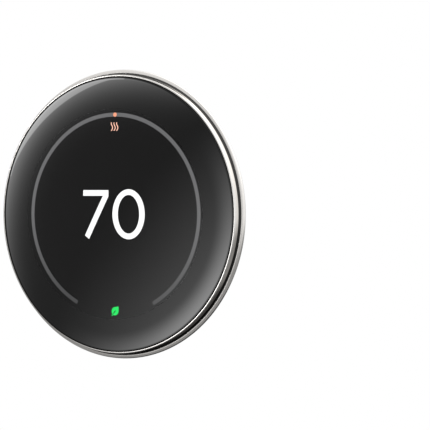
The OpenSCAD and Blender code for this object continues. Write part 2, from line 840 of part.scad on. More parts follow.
module dial_ring() {
    lip_r = lip_in_r + lip_w;
    flange_in_r = rim_r - rim_round - flange_w;
    rim_z = glass_z - rim_drop;
    lip_z = glass_z - lip_h;
    front_z = rim_z + rim_round;
    color("silver") from_wall() rotate_extrude($fn = edge_fn) polygon(concat(
        [[lip_in_r, glass_z - 0.05]],
        bend([lip_r - 0.45, lip_z], 0.45, lip_h, 90, 0),
        bend([flange_in_r, lip_z], flange_in_r - lip_r, lip_z - front_z, 180, 270),
        bend([rim_r - rim_round, rim_z], rim_round, rim_round, 90, -50),
        [[ring_back_r, ring_back_z], [catch_r, ring_back_z], [catch_r, land_z],
            [bore_r, land_z], [bore_r, land_top_z], [groove_r, land_top_z],
            [groove_r, shoulder_z], [lip_in_r, shoulder_z]]
    ));
}

module encoder_band() {
    color("white") from_wall()
        ring(groove_r, groove_r - 0.25, land_top_z + seat_gap, shoulder_z - seat_gap);
}

base_rear_plate();
base_cover();
base_board();
base_chips();
terminal_block(180);  // terminal_block_left
terminal_block(0);  // terminal_block_right
terminal_contacts(180);  // terminal_contacts_left
terminal_contacts(0);  // terminal_contacts_right
level_vial();
level_liquid();
base_socket();
socket_contacts();
base_screws();
catch_springs();
terminal_tab(180, 1);  // terminal_tab_l1
terminal_tab(180, 2);  // terminal_tab_l2
terminal_tab(180, 3);  // terminal_tab_l3
terminal_tab(180, 4);  // terminal_tab_l4
terminal_tab(180, 5);  // terminal_tab_l5
terminal_tab(180, 6);  // terminal_tab_l6
terminal_tab(0, 1);  // terminal_tab_r1
terminal_tab(0, 2);  // terminal_tab_r2
terminal_tab(0, 3);  // terminal_tab_r3
terminal_tab(0, 4);  // terminal_tab_r4
terminal_tab(0, 5);  // terminal_tab_r5
terminal_tab(0, 6);  // terminal_tab_r6
rear_cover();
chassis();
main_board();
shield_cans();
battery();
battery_lead();
plug_housing();
plug_contacts();
usb_port();
buzzer();
click_switch();
rear_cover_screws();
board_screws();
antenna();
guide_bushings();
climate_sensor();
screen_socket();
lens();
lens_mask();
lens_tape();
screen_panel();
screen_backlight();
screen_tail();
face_carrier();
guide_pins();
dial_bearing();
dial_retainer();
retainer_screws();
ring_sensor();
presence_sensor();
light_sensor();
return_springs();
dial_ring();
encoder_band();
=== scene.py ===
# %% [markdown]
# A round wall thermostat: a domed black glass in a polished ring that turns and presses in, on a display
# unit that pulls off a wall base. The working model comes in first as a fixed frame, in metres, with +Z
# up, the face looking along -Y and the wall at y = 0. Everything below is fitted round it and takes its
# places from it.

# %% Load the frame
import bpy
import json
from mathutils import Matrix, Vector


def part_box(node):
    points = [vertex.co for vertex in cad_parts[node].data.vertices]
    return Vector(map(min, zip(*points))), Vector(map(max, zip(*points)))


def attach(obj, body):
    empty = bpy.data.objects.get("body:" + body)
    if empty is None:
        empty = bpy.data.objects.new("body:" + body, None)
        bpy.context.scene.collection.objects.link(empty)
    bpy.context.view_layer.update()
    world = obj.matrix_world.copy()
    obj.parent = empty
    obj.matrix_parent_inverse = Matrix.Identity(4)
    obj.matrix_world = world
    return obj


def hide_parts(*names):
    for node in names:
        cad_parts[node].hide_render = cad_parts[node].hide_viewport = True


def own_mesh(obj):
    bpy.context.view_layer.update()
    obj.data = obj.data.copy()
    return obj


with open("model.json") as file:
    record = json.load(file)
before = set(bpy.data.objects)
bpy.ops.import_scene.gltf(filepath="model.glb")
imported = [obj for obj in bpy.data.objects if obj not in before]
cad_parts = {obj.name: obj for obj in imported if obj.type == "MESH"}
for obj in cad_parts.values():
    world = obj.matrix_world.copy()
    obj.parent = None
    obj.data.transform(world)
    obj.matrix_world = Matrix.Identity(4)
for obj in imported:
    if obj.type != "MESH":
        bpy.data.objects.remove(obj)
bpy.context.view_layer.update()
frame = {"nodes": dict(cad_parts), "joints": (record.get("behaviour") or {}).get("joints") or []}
print("nodes in the frame:", len(frame["nodes"]))

# %% [markdown]
# Sizes on this object are fractions of a millimetre, so lengths are given in millimetres and turned into
# metres in one place. Each size that another piece has to fit is read from the frame. Only the play round
# the screen in its pocket and the thin glue in front of it are named here.

# %% Sizes
import json
import math

import bmesh
import bpy
from mathutils import Matrix, Vector

MM = 0.001
scene = bpy.context.scene


def depth_of(node):
    """Distance of a node's back and front from the wall, in mm."""
    low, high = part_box(node)
    return -high.y / MM, -low.y / MM


def radius_of(node):
    """Radius of a round node about the middle, in mm."""
    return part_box(node)[1].x / MM


glass_back, dome_top = depth_of("lens")
glass_r = radius_of("lens")
ring_back, glass_edge = depth_of("dial_ring")
rim_r = radius_of("dial_ring")
screen_front = depth_of("screen_panel")[1]
screen_r = radius_of("screen_panel")
GLUE = 0.05
POCKET_PLAY = 0.4
pocket_r = screen_r + POCKET_PLAY
pocket_roof = screen_front + GLUE
print(f"ring {2 * rim_r:.1f} mm across, glass {2 * glass_r:.1f} mm, dome {dome_top - glass_edge:.1f} mm")

# %% [markdown]
# The camera stands a little to the right of the object and level with it, far away behind a long lens, so
# the round face shows as an ellipse with hardly any perspective.

# %% Camera
CAMERA_AZIMUTH = math.radians(32.5)
CAMERA_DISTANCE = 1.5
VIEW_WIDTH = 0.141
AIM_RIGHT = 0.03027
AIM_DOWN = 0.0003
CAMERA_RISE = 0.007
RIM_DEPTH = 0.0193
SENSOR = 36

outward = Vector((math.sin(CAMERA_AZIMUTH), -math.cos(CAMERA_AZIMUTH), CAMERA_RISE)).normalized()
rightward = Vector((math.cos(CAMERA_AZIMUTH), math.sin(CAMERA_AZIMUTH), 0))
rim_middle = Vector((0, -RIM_DEPTH, 0))
aim = rim_middle + rightward * AIM_RIGHT - Vector((0, 0, AIM_DOWN))
lens_data = bpy.data.cameras.new("camera")
lens_data.sensor_width = SENSOR
lens_data.lens = SENSOR * CAMERA_DISTANCE / VIEW_WIDTH
camera = bpy.data.objects.new("camera", lens_data)
camera.location = aim + outward * CAMERA_DISTANCE
camera.rotation_mode = "QUATERNION"
camera.rotation_quaternion = outward.to_track_quat("Z", "Y")
scene.collection.objects.link(camera)
scene.camera = camera
print(f"camera lens {lens_data.lens:.0f} mm")

# %% [markdown]
# A material or a world holds a tree of nodes. Placing them by hand takes many lines, so one method adds
# any node from its type, its settings and what goes into its sockets, and hands back the output that the
# next node needs.

# %% A node tree that is filled from code
class Net:
    """A node tree that is filled from code."""

    def __init__(self, owner):
        owner.use_nodes = True
        self.tree = owner.node_tree
        self.tree.nodes.clear()

    def add(self, kind, settings=None, sockets=None, output=0):
        """Adds a node: its settings first, then values or Wires for its sockets."""
        node = self.tree.nodes.new("ShaderNode" + kind)
        for key, value in (settings or {}).items():
            setattr(node, key, value)
        for key, value in (sockets or {}).items():
            if isinstance(value, Wire):
                self.tree.links.new(value.socket, node.inputs[key])
            else:
                node.inputs[key].default_value = value
        return Wire(self, node.outputs[output]) if node.outputs else node

    def maths(self, operation, *values):
        """Adds a Math node, for what has no operator in Python."""
        return self.add("Math", {"operation": operation}, dict(enumerate(values)))


print("a node is added from its type, its settings and its sockets")

# %% [markdown]
# Node maths is easier to read as sums than as a chain of boxes. A Wire is one output socket, and Python's
# own operators on it add Math nodes. Two more methods cover what patterns need most: a soft step between
# two values, and a blend between two colours.

# %% Sums on sockets
class Wire:
    """One output socket, which Python's operators do sums on."""

    def __init__(self, net, socket):
        self.net = net
        self.socket = socket

    def __add__(self, other):
        return self.net.maths("ADD", self, other)

    __radd__ = __add__

    def __mul__(self, other):
        return self.net.maths("MULTIPLY", self, other)

    __rmul__ = __mul__

    def __sub__(self, other):
        return self.net.maths("SUBTRACT", self, other)

    def __rsub__(self, other):
        return self.net.maths("SUBTRACT", other, self)

    def __truediv__(self, other):
        return self.net.maths("DIVIDE", self, other)

    def __pow__(self, other):
        return self.net.maths("POWER", self, other)

    def __gt__(self, other):
        return self.net.maths("GREATER_THAN", self, other)

    def positive(self):
        """The value where it is above 0, and 0 elsewhere."""
        return self.net.maths("MAXIMUM", self, 0)

    def step(self, low, high):
        """0 below low, 1 above high, and smooth in between."""
        return self.net.add("MapRange", {"interpolation_type": "SMOOTHSTEP"},
                            {"Value": self, "From Min": low, "From Max": high})

    def blend(self, low, high):
        """A colour between two colours."""
        return self.net.add("Mix", {"data_type": "RGBA"},
                            {"Factor": self, 6: colour4(low), 7: colour4(high)}, output=2)


print("a Wire takes sums, differences, products, quotients and powers")

# %% [markdown]
# Shaders work in linear light, while a colour here is given from 0 to 255, as on a screen.
# One function turns the second into the first.

# %% Colours
def colour4(colour):
    """A colour as Blender's sockets want it; a Wire passes through."""
    return colour if isinstance(colour, Wire) else (*colour, 1)


def linear(*rgb):
    """A screen colour from 0 to 255 as the linear light that shaders work in."""
    return tuple(((c / 255 + 0.055) / 1.055) ** 2.4 if c > 10 else c / 3295 for c in rgb)


print("mid grey as linear light:", round(linear(128)[0], 3))

# %% [markdown]
# Each finish starts from the same few fields: the place on the piece in millimetres, the distance from
# the middle axis, the angle round it, and noise of a given grain size. They read Object coordinates, so
# the pattern stays on the piece when it moves, and no map has to be drawn.

# %% Fields that patterns are made of
class Finish(Net):
    """A material with one Principled shader, and the fields that its pattern is made of."""

    def __init__(self, name, **constants):
        self.material = bpy.data.materials.new(name)
        super().__init__(self.material)
        self.constants = {key.replace("_", " "): value for key, value in constants.items()}
        place = self.add("TexCoord", output="Object")
        self.place = self.add("VectorMath", {"operation": "SCALE"}, {0: place, "Scale": 1 / MM})
        self.x, self.y, self.z = [self.add("SeparateXYZ", None, {0: self.place}, output=k) for k in range(3)]

    def radius(self):
        flat = self.add("CombineXYZ", None, {0: self.x, 2: self.z})
        return self.add("VectorMath", {"operation": "LENGTH"}, {0: flat}, output="Value")

    def angle(self):
        return self.maths("ARCTAN2", self.z, self.x)

    def noise(self, grain, vector=None, detail=2.0):
        """Noise from 0 to 1, whose lumps are about grain mm wide."""
        return self.add("TexNoise", None, {"Vector": vector or self.place, "Scale": 1 / grain,
                                           "Detail": detail}, output=0)

    def turned(self, radial, around):
        """Noise drawn out round the middle axis, as turning on a lathe leaves it."""
        along = self.add("CombineXYZ", None, {0: self.angle() * around, 1: self.radius() * radial,
                                              2: self.y * radial})
        return self.noise(1.0, along)

    def bump(self, height, depth):
        """Surface relief: height runs from 0 to 1 and depth is in mm."""
        return self.add("Bump", None, {"Strength": 1.0, "Distance": depth * MM, "Height": height})

    def done(self, **driven):
        sockets = dict(self.constants)
        sockets.update({key.replace("_", " "): value for key, value in driven.items()})
        if "Base Color" in sockets:
            sockets["Base Color"] = colour4(sockets["Base Color"])
        shader = self.add("BsdfPrincipled", None, sockets)
        self.add("OutputMaterial", None, {"Surface": shader})
        return self.material


print("fields of a finish: place, radius, angle, noise and turned noise")

# %% [markdown]
# Moulded plastic is never one even colour: the resin flows into faint clouds, and the tool's spark-eroded
# face leaves a fine grain that breaks up the gloss. One function makes them all, from a colour, a
# roughness and the depth of that grain.

# %% Moulded plastics, rubbers and films
def moulded(name, colour, roughness, grain=0.35, relief=0.012, clouds=0.08, **constants):
    """A moulded finish: grain in mm, relief in mm, and how far the clouds go from the colour."""
    look = Finish(name, **constants)
    cloud = look.noise(9.0)
    speck = look.noise(grain, detail=4.0)
    dark = [c * (1 - clouds) for c in colour]
    light = [min(1, c * (1 + clouds)) for c in colour]
    return look.done(
        Base_Color=(cloud * 0.7 + speck * 0.3).blend(dark, light),
        Roughness=roughness + 0.12 * (speck - 0.5) + 0.08 * (cloud - 0.5),
        Normal=look.bump(speck, relief))


SLOT_FINISH = {
    "carrier_plastic": moulded("carrier_plastic", linear(52, 53, 56), 0.5),
    "frame_plastic": moulded("frame_plastic", linear(44, 45, 48), 0.48),
    "rear_plastic": moulded("rear_plastic", linear(62, 63, 66), 0.52, relief=0.02),
    "bearing_plastic": moulded("bearing_plastic", linear(226, 221, 206), 0.38, relief=0.004),
    "connector_black": moulded("connector_black", linear(28, 28, 30), 0.42, relief=0.006),
    "base_plastic": moulded("base_plastic", linear(232, 231, 227), 0.46, relief=0.014, clouds=0.025),
    "terminal_plastic": moulded("terminal_plastic", linear(186, 188, 190), 0.44, clouds=0.04),
    "tab_plastic": moulded("tab_plastic", linear(240, 240, 236), 0.36, relief=0.006, clouds=0.03),
    "sensor_white": moulded("sensor_white", linear(236, 236, 232), 0.3, grain=0.2, relief=0.003),
    "black_tape": moulded("black_tape", linear(20, 20, 21), 0.85, grain=0.25, relief=0.03),
    "black_print": moulded("black_print", linear(6, 6, 7), 0.55, grain=0.15, relief=0.002),
    "lead_red": moulded("lead_red", linear(176, 28, 26), 0.34, grain=0.8, relief=0.004),
    "tail_film": moulded("tail_film", linear(168, 96, 32), 0.28, grain=1.5, relief=0.003),
    "chip_black": moulded("chip_black", linear(34, 34, 36), 0.62, grain=0.12, relief=0.01),
}
print("moulded finishes:", len(SLOT_FINISH))

# %% [markdown]
# Small metal parts are stamped or turned and then plated. Their gloss comes from drawn-out noise: long
# streaks across sheet steel, and a softer mottling on gold-plated contacts.

# %% Plated metals
def plated(name, colour, roughness, streak, relief=0.002):
    """A plated finish: streak is how much finer the noise is along x."""
    look = Finish(name, Metallic=1.0)
    stretched = look.add("Mapping", None, {"Vector": look.place, "Scale": (streak, 1.0, 0.25)})
    grain = look.noise(0.5, stretched, detail=3.0)
    stain = look.noise(4.0)
    dull = [c * 0.86 for c in colour]
    return look.done(Base_Color=(grain * 0.5 + stain * 0.5).blend(dull, colour),
                     Roughness=roughness + 0.2 * (grain - 0.5) + 0.1 * (stain - 0.5),
                     Normal=look.bump(grain, relief))


SLOT_FINISH["steel"] = plated("steel", linear(204, 205, 208), 0.26, 3.0)
SLOT_FINISH["contact_metal"] = plated("contact_metal", linear(232, 190, 112), 0.22, 1.0)
print("plated finishes: steel, contact_metal")

# %% [markdown]
# A circuit board is green solder mask over copper. The copper tracks stand up by a few hundredths of a
# millimetre and show as lighter lines, and a grid of small tinned vias runs through it. A brick pattern
# on the board's own plane draws the tracks without any map.

# %% Circuit board
def board_finish():
    look = Finish("circuit_board", Coat_Weight=0.4, Coat_Roughness=0.15)
    face = look.add("CombineXYZ", None, {0: look.x, 1: look.z})
    tracks = look.add("TexBrick", {"offset": 0.5, "squash": 1.0},
                      {"Vector": face, "Scale": 0.55, "Mortar Size": 0.07, "Mortar Smooth": 0.1,
                       "Color1": (0, 0, 0, 1), "Color2": (0, 0, 0, 1), "Mortar": (1, 1, 1, 1)},
                      output="Color")
    dots = look.add("TexVoronoi", {"feature": "F1"}, {"Vector": face, "Scale": 0.4, "Randomness": 0.6},
                    output="Distance")
    via = 1 - dots.step(0.08, 0.11)
    mask = tracks.blend(linear(14, 74, 44), linear(34, 112, 66))
    return look.done(Base_Color=via.blend(mask, linear(196, 190, 170)),
                     Roughness=0.38 - 0.12 * via + 0.1 * look.noise(2.0),
                     Metallic=via * 0.9,
                     Normal=look.bump(look.maths("MAXIMUM", tracks, via), 0.03))


SLOT_FINISH["circuit_board"] = board_finish()
print("circuit board finish made")

# %% [markdown]
# The battery is a flat pouch in a printed silver sleeve with a faint weave, and the encoder band is a
# film with a dark bar every few degrees, which a sensor counts as the ring turns.

# %% Battery sleeve and encoder film
def sleeve_finish():
    look = Finish("battery_wrap", Coat_Weight=0.3, Coat_Roughness=0.2)
    crease = look.noise(3.0, detail=5.0)
    tone = crease.blend(linear(148, 152, 158), linear(186, 190, 196))
    return look.done(Base_Color=tone, Metallic=0.5 + 0.3 * crease, Roughness=0.3 + 0.2 * crease,
                     Normal=look.bump(crease, 0.05))


def encoder_finish():
    bars = 120
    look = Finish("encoder_film")
    wave = look.maths("SINE", look.angle() * bars)
    bar = wave.step(-0.15, 0.15)
    return look.done(Base_Color=bar.blend(linear(18, 18, 20), linear(206, 208, 210)),
                     Roughness=0.3 + 0.2 * bar + 0.1 * look.noise(0.5))


SLOT_FINISH["battery_wrap"] = sleeve_finish()
SLOT_FINISH["encoder_film"] = encoder_finish()
print("sleeve and encoder film made")

# %% [markdown]
# The level is an acrylic vial with tinted spirit inside. Both are clear, so they use transmission. What
# varies is only the tint, which keeps them true glass for any renderer.

# %% Clear pieces
def clear(name, thin, thick, ior, **constants):
    look = Finish(name, Transmission_Weight=1.0, IOR=ior, Roughness=0.02, **constants)
    return look.done(Base_Color=look.noise(6.0).blend(thin, thick))


SLOT_FINISH["clear_acrylic"] = clear("clear_acrylic", (0.96, 0.97, 0.97), (0.9, 0.93, 0.93), 1.49)
SLOT_FINISH["level_liquid"] = clear("level_liquid", (0.72, 0.92, 0.2), (0.6, 0.86, 0.12), 1.36)
face_glass_finish = clear("clear_glass", (0.25, 0.25, 0.25), (0.22, 0.22, 0.225), 1.5)
SLOT_FINISH["clear_glass"] = face_glass_finish
print("clear finishes made")

# %% [markdown]
# The screen is bonded to the glass with clear glue, so no second reflection comes from the back of the
# glass, and the pocket roof lets light straight through. Beyond the screen the glass is printed black on
# its back. Ink that is bonded to clear glass looks like black glass, so those faces are an opaque one
# with the same gloss.

# %% Glue line and ink
INK_DARK = (0.001, 0.001, 0.001)
INK_LIGHT = (0.002, 0.002, 0.002)


def bond_finish():
    look = Finish("screen_bond", Base_Color=(0, 0, 0), Roughness=0.9, Specular_IOR_Level=0.0)
    return look.done(Alpha=look.noise(8.0) * 0.02)


def ink_finish():
    look = Finish("black_ink", Specular_IOR_Level=0.0)
    return look.done(Base_Color=look.noise(2.0).blend(INK_DARK, INK_LIGHT), Roughness=0.8)


def inked_glass_finish():
    look = Finish("inked_glass", IOR=1.5)
    smear = look.noise(12.0)
    return look.done(Base_Color=smear.blend(INK_DARK, INK_LIGHT), Roughness=0.003 + 0.008 * smear)


bond = bond_finish()
black_ink = ink_finish()
inked_glass = inked_glass_finish()
print("glue and ink made")

# %% [markdown]
# A little of the studio's light still reaches the screen, so its own black is a shade above nothing, with
# the faint grid of its cells. Behind it the backlight is a milky sheet that glows a little by itself.

# %% Screen black and backlight
CELLS_PER_MM = 40


def screen_finish():
    look = Finish("screen_black", Specular_IOR_Level=0.0)
    cells = look.maths("SINE", look.x * CELLS_PER_MM) * look.maths("SINE", look.z * CELLS_PER_MM)
    return look.done(Base_Color=cells.step(0, 1).blend(linear(7, 7, 8), linear(11, 11, 12)),
                     Roughness=0.5 + 0.1 * look.noise(3.0))


def backlight_finish():
    look = Finish("screen_light", Emission_Strength=0.35)
    glow = look.noise(5.0)
    return look.done(Base_Color=glow.blend(linear(214, 218, 224), linear(236, 238, 240)),
                     Roughness=0.45 + 0.1 * glow,
                     Emission_Color=glow.blend(linear(214, 226, 240), linear(240, 244, 250)))


SLOT_FINISH["screen_black"] = screen_finish()
SLOT_FINISH["screen_light"] = backlight_finish()
print("screen finishes made")

# %% [markdown]
# The ring is stainless steel, turned on a lathe and then polished. Polishing leaves very fine rings that
# run round it and a slow unevenness in the gloss. The narrow cove beside the glass and the seam at the
# lip's foot get painted shade: their colour is darkened to stand for the shadow and dark reflection in
# them, and they are made rougher as well.

# %% Polished ring
RING_WIDTH = 2.4
LIP_STEP = 0.15
LIP_WIDTH = 0.58
LIP_HEIGHT = 1.2
RIM_DROP = 3.2
RIM_ROUND = 0.45
FLANGE_WIDTH = 0.72
FLANGE_LEAN = 0.29
ring_in = rim_r - RING_WIDTH
lip_in = ring_in + LIP_STEP
lip_out = lip_in + LIP_WIDTH
flange_in = rim_r - RIM_ROUND - FLANGE_WIDTH


def ring_finish():
    look = Finish("polished_ring", Metallic=1.0)
    out = look.radius()
    rings = look.turned(radial=14.0, around=0.9)
    haze = look.noise(7.0)
    # The cove past the lip and the seam at the lip's foot get painted shade: a darker colour there stands
    # for the shadow and dark reflection in them.
    below_lip = (look.y + (glass_edge - 0.75)).step(-0.2, 0.2)
    past_lip = out.step(lip_out - 0.02, lip_out + 0.04)
    on_flange = out.step(flange_in + 0.02, flange_in + 0.17)
    seam_shade = 1 - out.step(lip_in + 0.02, lip_in + 0.14)
    dull = past_lip * (1 - on_flange) * below_lip + seam_shade
    bright = haze.blend(linear(236, 233, 229), linear(245, 242, 238))
    # Painted shade: the colour turns dark grey where dull is 1, and the roughness also rises there.
    return look.done(Base_Color=dull.blend(bright, linear(58, 57, 56)),
                     Roughness=0.07 + 0.05 * rings + 0.04 * haze + 0.22 * dull,
                     Normal=look.bump(rings, 0.0004))


SLOT_FINISH["polished_ring"] = ring_finish()
print(f"lip from {lip_in:.2f} to {lip_out:.2f} mm, flange from {flange_in:.2f} mm")

# %% [markdown]
# Every working part that stays in view takes the finish of its slot. Only the material in its slot
# changes: its shape and place belong to the frame.

# %% Give the working parts their finishes
for name, node in frame["nodes"].items():
    for k, old in enumerate(node.data.materials):
        node.data.materials[k] = SLOT_FINISH[old.name.split(".")[0]]
print("finished slots:", len(SLOT_FINISH))

# %% [markdown]
# New pieces are drawn as a section, a line of points given by radius and distance from the wall, and
# turned once round the axis. A piece is checked for open edges when it is finished, because an open seam
# would let light into a clear piece and spoil its mesh.

# %% Modelling helpers
TURN_STEPS = 360
FORWARD = Vector((0, -MM, 0))


def section(bm, points):
    """Draws a line through (radius, distance from the wall) points and returns its vertices."""
    verts = [bm.verts.new((r * MM, -d * MM, 0)) for r, d in points]
    for a, b in zip(verts, verts[1:]):
        bm.edges.new((a, b))
    return verts


def arc(centre, size, start, end, steps):
    """Points on an arc of an ellipse, from one angle to another in degrees."""
    sweep = [math.radians(start + (end - start) * k / steps) for k in range(steps + 1)]
    return [(centre[0] + size[0] * math.cos(a), centre[1] + size[1] * math.sin(a)) for a in sweep]


def turn(bm):
    """Spins what is drawn once round the axis, closes the seam and the poles, and points the faces out."""
    bmesh.ops.spin(bm, geom=bm.verts[:] + bm.edges[:], cent=(0, 0, 0), axis=(0, 1, 0), angle=math.tau,
                   steps=TURN_STEPS, use_merge=True)
    bmesh.ops.remove_doubles(bm, verts=bm.verts, dist=1e-7)
    bmesh.ops.recalc_face_normals(bm, faces=bm.faces)


def piece(name, bm, body, slot, *materials, replaces=(), crease=30):
    """Makes a finished object of a bmesh, hangs it on its body and hides the nodes that it stands for."""
    loose = sum(len(edge.link_faces) != 2 for edge in bm.edges)
    mesh = bpy.data.meshes.new(name)
    bm.to_mesh(mesh)
    bm.free()
    for material in materials:
        mesh.materials.append(material)
    mesh.shade_smooth()
    mesh.set_sharp_from_angle(angle=math.radians(crease))
    obj = bpy.data.objects.new(name, mesh)
    scene.collection.objects.link(obj)
    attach(obj, body)
    if replaces:
        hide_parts(*replaces)
    print(f"{name}: {len(mesh.polygons)} faces, {loose} open edges")
    return obj


print("steps in one turn:", TURN_STEPS)

# %% [markdown]
# The glass is ground and polished into a shallow dome, with a soft edge all round and a round pocket in
# its back for the screen. One line gives the whole section: along the dome, over the edge, across the
# inked back, up the pocket's wall and in along its roof. It shows a hair wider than the working lens, so
# that the seam beside it is as narrow as on the real one. Each face then gets clear glass, inked glass,
# the glue or plain ink.

# %% Face glass
GLASS_GROWTH = 0.25
EDGE_ROUND = 0.12
COLLAR_TOP = 0.9
COLLAR_FOOT = 1.2
INK_BORDER = 0.3
CLEAR, INKED, BONDED, PRINTED = range(4)


def glass_section(clear_r):
    """The half section of the glass; clear_r is where its ink begins."""
    wide = glass_r + GLASS_GROWTH
    rise = dome_top - glass_edge
    dome = (wide ** 2 + rise ** 2) / (2 * rise)
    centre = (0, dome_top - dome)
    half = math.degrees(math.asin((wide - EDGE_ROUND) / dome))
    clear_half = math.degrees(math.asin(clear_r / dome))
    over = arc(centre, (dome, dome), 90, 90 - clear_half, 30)
    over += arc(centre, (dome, dome), 90 - clear_half, 90 - half, 14)[1:]
    edge = arc((wide - EDGE_ROUND, over[-1][1] - EDGE_ROUND), (EDGE_ROUND, EDGE_ROUND), 60, 0, 4)
    collar = [(wide, glass_edge - COLLAR_TOP), (glass_r, glass_edge - COLLAR_FOOT)]
    back = [(glass_r, glass_back + 0.1), (glass_r - 0.1, glass_back), (pocket_r, glass_back)]
    pocket = [(pocket_r, pocket_roof), (screen_r - INK_BORDER, pocket_roof), (0, pocket_roof)]
    return over + edge + collar + back + pocket


def face_glass():
    clear_r = screen_r - 1.0
    bm = bmesh.new()
    section(bm, glass_section(clear_r))
    turn(bm)
    for face in bm.faces:
        middle = face.calc_center_median()
        out = math.hypot(middle.x, middle.z) / MM
        if face.normal.y > 0.5:
            face.material_index = BONDED if out < screen_r - INK_BORDER - 0.2 else PRINTED
        elif out > clear_r:
            pocket_wall = abs(face.normal.y) < 0.1 and out < pocket_r + 0.1
            face.material_index = PRINTED if pocket_wall else INKED
    return piece("face_glass", bm, "face", "clear_glass", face_glass_finish, inked_glass, bond, black_ink,
                 replaces=["lens"])


face_glass()

# %% [markdown]
# The ring has a thin rounded lip beside the glass, a cove that falls away from it, a narrow flange that
# leans out a little, and a rolled rim. The lip's crown slopes outwards, so it catches the light as one
# thin line. Behind the rim a long cone runs back to the wall side. Its inside holds the bearing bore, the
# encoder groove and the step that the retainer catches.

# %% Polished ring that turns
CROWN = 1.15
CROWN_START, CROWN_END = 8, 27
KNUCKLE = 0.14
RIM_START, RIM_END = 66, -50


def lip_section():
    """The lip, from its foot beside the glass over the crown to its outer side."""
    foot = glass_edge - LIP_HEIGHT
    steep, bend = math.radians(CROWN_START), math.radians(CROWN_END)
    under = (lip_in + 0.1 - CROWN * math.sin(steep), glass_edge - CROWN * math.cos(steep))
    points = [(lip_in, foot)]
    points += arc((lip_in + 0.1, glass_edge - 0.1), (0.1, 0.1), 180, 90, 4)
    points += arc(under, (CROWN, CROWN), 90 - CROWN_START, 90 - CROWN_END, 6)[1:]
    hub = (points[-1][0] - KNUCKLE * math.sin(bend), points[-1][1] - KNUCKLE * math.cos(bend))
    return points + arc(hub, (KNUCKLE, KNUCKLE), 90 - CROWN_END, 0, 8)[1:]


def dial_ring_turned():
    foot = glass_edge - LIP_HEIGHT
    flange_depth = glass_edge - RIM_DROP + 0.4
    rim_hub = (rim_r - RIM_ROUND, flange_depth - FLANGE_LEAN - RIM_ROUND)
    bore, groove, catch, back = ring_in - 1.95, ring_in - 1.55, ring_in - 1.25, ring_in - 0.55
    land, land_top, shoulder = ring_back + 1.4, ring_back + 2.9, ring_back + 4.3
    points = [(ring_in, shoulder), (ring_in, foot)] + lip_section()
    cove_start = points[-1][0]
    points += arc((flange_in, foot), (flange_in - cove_start, foot - flange_depth), 180, 270, 14)
    points += arc(rim_hub, (RIM_ROUND, RIM_ROUND), RIM_START, RIM_END, 16)
    points += [(back + 0.12, ring_back + 0.06), (back, ring_back), (catch, ring_back), (catch, land),
               (bore, land), (bore, land_top), (groove, land_top), (groove, shoulder), (ring_in, shoulder)]
    bm = bmesh.new()
    section(bm, points)
    turn(bm)
    return piece("dial_ring_turned", bm, "dial", "polished_ring", SLOT_FINISH["polished_ring"],
                 replaces=["dial_ring"], crease=15)


dial_ring_turned()

# %% [markdown]
# The picture on the screen is made of thin lit shapes between the panel and the glue, each in its own
# piece: an arc track, a dot at its top, a heat symbol, the number and a leaf. A shape glows by itself,
# and the glass takes a little of its light on the way out, which its brightness makes up for.

# %% Lit colours
GLASS_LOSS = 0.46
ROWS_PER_MM = 40


def lit(name, rgb, gain=1.0, fade=None):
    """A colour that glows; fade gives the heights in mm between which it comes up to full strength."""
    colour = [c * gain / GLASS_LOSS for c in linear(*rgb)]
    strength = max(1.0, max(colour))
    colour = [c / strength for c in colour]
    look = Finish(name, Emission_Strength=strength, Roughness=0.6)
    rows = look.maths("SINE", look.z * ROWS_PER_MM).step(-1, 1)
    glow = look.noise(6.0) * 0.6 + rows * 0.4
    if fade:
        glow = look.z.step(*fade) * (0.9 + 0.1 * glow)
    low = 0.3 if fade else 0.96
    return look.done(Base_Color=glow.blend([c * 0.02 for c in colour], [c * 0.03 for c in colour]),
                     Emission_Color=glow.blend([c * low for c in colour], colour))


white_light = lit("white_light", (255, 255, 255), 1.15)
track_light = lit("track_light", (105, 105, 106), fade=(-38, 4))
coral_light = lit("coral_light", (255, 168, 132))
heat_light = lit("heat_light", (255, 196, 172), 1.5)
green_light = lit("green_light", (0, 238, 98))
print("lit colours made")

# %% [markdown]
# A stroke is drawn the way a pen draws it. A short cross line is pushed from point to point, turning as
# it goes, and half circles round off both ends. The flat shape then gets a hair's thickness.

# %% Strokes and thin plates
TRACK_LAYER = 0.012
SYMBOL_LAYER = 0.028
PLATE = 0.01


def stroke(bm, points, width):
    """Draws a ribbon with round ends along (x, z) points, in mm, on the plane y = 0."""
    across = Vector((0, 1, 0))
    spots = [Vector((x, 0, z)) * MM for x, z in points]
    ways = [(b - a).normalized() for a, b in zip(spots, spots[1:])]
    side = ways[0].cross(across) * width * MM / 2
    line = [bm.verts.new(spots[0] + side * k) for k in (-1, 0, 1)]
    edges = [bm.edges.new(line[0:2]), bm.edges.new(line[1:3])]
    half_circle(bm, line[1:3], edges[1], spots[0], math.pi)
    for k, way in enumerate(ways):
        grown = bmesh.ops.extrude_edge_only(bm, edges=edges)["geom"]
        line = [part for part in grown if isinstance(part, bmesh.types.BMVert)]
        edges = [part for part in grown if isinstance(part, bmesh.types.BMEdge) and
                 part.verts[0] in line and part.verts[1] in line]
        bmesh.ops.translate(bm, verts=line, vec=spots[k + 1] - spots[k])
        if k + 1 < len(ways):
            bend = Matrix.Rotation(math.asin(way.cross(ways[k + 1]).y), 3, "Y")
            bmesh.ops.rotate(bm, verts=line, cent=spots[k + 1], matrix=bend)
    side = ways[-1].cross(across)
    outer = max(edges, key=lambda edge: sum((vert.co - spots[-1]).dot(side) for vert in edge.verts))
    half_circle(bm, outer.verts[:], outer, spots[-1], -math.pi)
    bmesh.ops.remove_doubles(bm, verts=bm.verts, dist=1e-7)


def half_circle(bm, verts, edge, centre, sweep):
    """Rounds off the end of a stroke."""
    bmesh.ops.spin(bm, geom=[*verts, edge], cent=centre, axis=(0, 1, 0), angle=sweep, steps=12)


